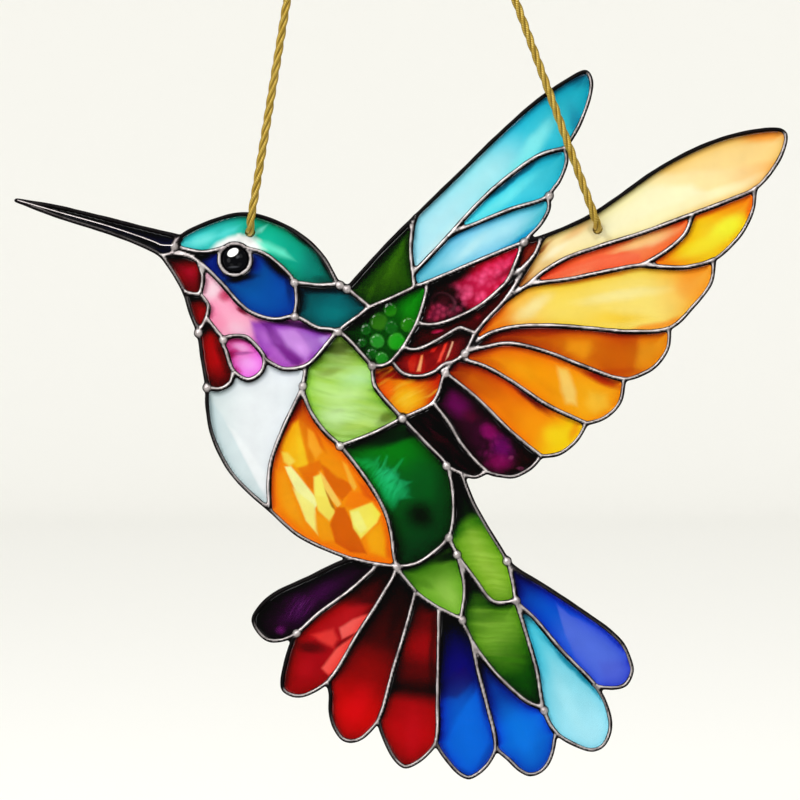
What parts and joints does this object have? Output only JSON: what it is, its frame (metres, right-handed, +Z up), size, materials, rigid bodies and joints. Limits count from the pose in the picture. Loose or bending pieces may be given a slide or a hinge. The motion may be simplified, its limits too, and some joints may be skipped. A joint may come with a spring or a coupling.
{
  "type": "suncatcher",
  "caption": "Flat stained-glass style hummingbird with outspread wings and fanned tail, hung on a gold twisted cord from a small ring.",
  "frame": {"origin": "top of the hanging ring's inside, where it bears on a hook or nail; the bird's mid-plane is y = 0", "axes": "+Z up, +X to the viewer's right across the wings (the beak points to -X), the front face looks to -Y"},
  "size_m": [0.1998, 0.0124, 0.3256],
  "materials": {
    "soldered_came": "blackened tin-lead solder line, bright along its crown and beads",
    "acrylic_beak": "streaky coloured cast acrylic, see-through, rolled surface",
    "acrylic_crown": "streaky coloured cast acrylic, see-through, rolled surface",
    "acrylic_eye": "polished black acrylic dome",
    "acrylic_cheek": "streaky coloured cast acrylic, see-through, rolled surface",
    "acrylic_nape": "streaky coloured cast acrylic, see-through, rolled surface",
    "acrylic_throat_upper": "streaky coloured cast acrylic, see-through, rolled surface",
    "acrylic_throat_middle": "streaky coloured cast acrylic, see-through, rolled surface",
    "acrylic_throat_lower": "streaky coloured cast acrylic, see-through, rolled surface",
    "acrylic_blush": "streaky coloured cast acrylic, see-through, rolled surface",
    "acrylic_throat_spot": "streaky coloured cast acrylic, see-through, rolled surface",
    "acrylic_breast": "streaky coloured cast acrylic, see-through, rolled surface",
    "acrylic_mantle": "streaky coloured cast acrylic, see-through, rolled surface",
    "acrylic_scapular": "streaky coloured cast acrylic, see-through, rolled surface",
    "acrylic_belly": "streaky coloured cast acrylic, see-through, rolled surface",
    "acrylic_rump": "streaky coloured cast acrylic, see-through, rolled surface",
    "acrylic_small_orange": "streaky coloured cast acrylic, see-through, rolled surface",
    "acrylic_red_streak": "streaky coloured cast acrylic, see-through, rolled surface",
    "acrylic_maroon_wedge": "streaky coloured cast acrylic, see-through, rolled surface",
    "acrylic_magenta": "streaky coloured cast acrylic, see-through, rolled surface",
    "acrylic_red_sliver": "streaky coloured cast acrylic, see-through, rolled surface",
    "acrylic_wing_base": "streaky coloured cast acrylic, see-through, rolled surface",
    "acrylic_back_primary_1": "streaky coloured cast acrylic, see-through, rolled surface",
    "acrylic_back_primary_2": "streaky coloured cast acrylic, see-through, rolled surface",
    "acrylic_back_primary_3": "streaky coloured cast acrylic, see-through, rolled surface",
    "acrylic_cream": "streaky coloured cast acrylic, see-through, rolled surface",
    "acrylic_coral": "streaky coloured cast acrylic, see-through, rolled surface",
    "acrylic_yellow": "streaky coloured cast acrylic, see-through, rolled surface",
    "acrylic_golden": "streaky coloured cast acrylic, see-through, rolled surface",
    "acrylic_amber": "streaky coloured cast acrylic, see-through, rolled surface",
    "acrylic_orange": "streaky coloured cast acrylic, see-through, rolled surface",
    "acrylic_rust": "streaky coloured cast acrylic, see-through, rolled surface",
    "acrylic_plum": "streaky coloured cast acrylic, see-through, rolled surface",
    "acrylic_aubergine": "streaky coloured cast acrylic, see-through, rolled surface",
    "acrylic_covert_long": "streaky coloured cast acrylic, see-through, rolled surface",
    "acrylic_covert_short": "streaky coloured cast acrylic, see-through, rolled surface",
    "acrylic_covert_point": "streaky coloured cast acrylic, see-through, rolled surface",
    "acrylic_tail_1": "streaky coloured cast acrylic, see-through, rolled surface",
    "acrylic_tail_2": "streaky coloured cast acrylic, see-through, rolled surface",
    "acrylic_tail_3": "streaky coloured cast acrylic, see-through, rolled surface",
    "acrylic_tail_4": "streaky coloured cast acrylic, see-through, rolled surface",
    "acrylic_tail_5": "streaky coloured cast acrylic, see-through, rolled surface",
    "acrylic_tail_6": "streaky coloured cast acrylic, see-through, rolled surface",
    "acrylic_tail_7": "streaky coloured cast acrylic, see-through, rolled surface",
    "acrylic_tail_8": "streaky coloured cast acrylic, see-through, rolled surface",
    "gold_cord": "three-strand twisted metallic cord",
    "gold_ring": "polished"
  },
  "bodies": {
    "root": {"amber": "acrylic_amber", "aubergine": "acrylic_aubergine", "back_primary_1": "acrylic_back_primary_1", "back_primary_2": "acrylic_back_primary_2", "back_primary_3": "acrylic_back_primary_3", "beak": "acrylic_beak", "belly": "acrylic_belly", "blush": "acrylic_blush", "breast": "acrylic_breast", "cheek": "acrylic_cheek", "coral": "acrylic_coral", "cord_left": "gold_cord", "cord_right": "gold_cord", "covert_long": "acrylic_covert_long", "covert_point": "acrylic_covert_point", "covert_short": "acrylic_covert_short", "cream": "acrylic_cream", "crown": "acrylic_crown", "eye": "acrylic_eye", "golden": "acrylic_golden", "hanging_knot": "gold_cord", "hanging_ring": "gold_ring", "leading": "soldered_came", "magenta": "acrylic_magenta", "mantle": "acrylic_mantle", "maroon_wedge": "acrylic_maroon_wedge", "nape": "acrylic_nape", "orange": "acrylic_orange", "plum": "acrylic_plum", "red_sliver": "acrylic_red_sliver", "red_streak": "acrylic_red_streak", "rump": "acrylic_rump", "rust": "acrylic_rust", "scapular": "acrylic_scapular", "small_orange": "acrylic_small_orange", "stopper_knot_left": "gold_cord", "stopper_knot_right": "gold_cord", "tail_1": "acrylic_tail_1", "tail_2": "acrylic_tail_2", "tail_3": "acrylic_tail_3", "tail_4": "acrylic_tail_4", "tail_5": "acrylic_tail_5", "tail_6": "acrylic_tail_6", "tail_7": "acrylic_tail_7", "tail_8": "acrylic_tail_8", "throat_lower": "acrylic_throat_lower", "throat_middle": "acrylic_throat_middle", "throat_spot": "acrylic_throat_spot", "throat_upper": "acrylic_throat_upper", "wing_base": "acrylic_wing_base", "yellow": "acrylic_yellow"}
  },
  "joints": []
}
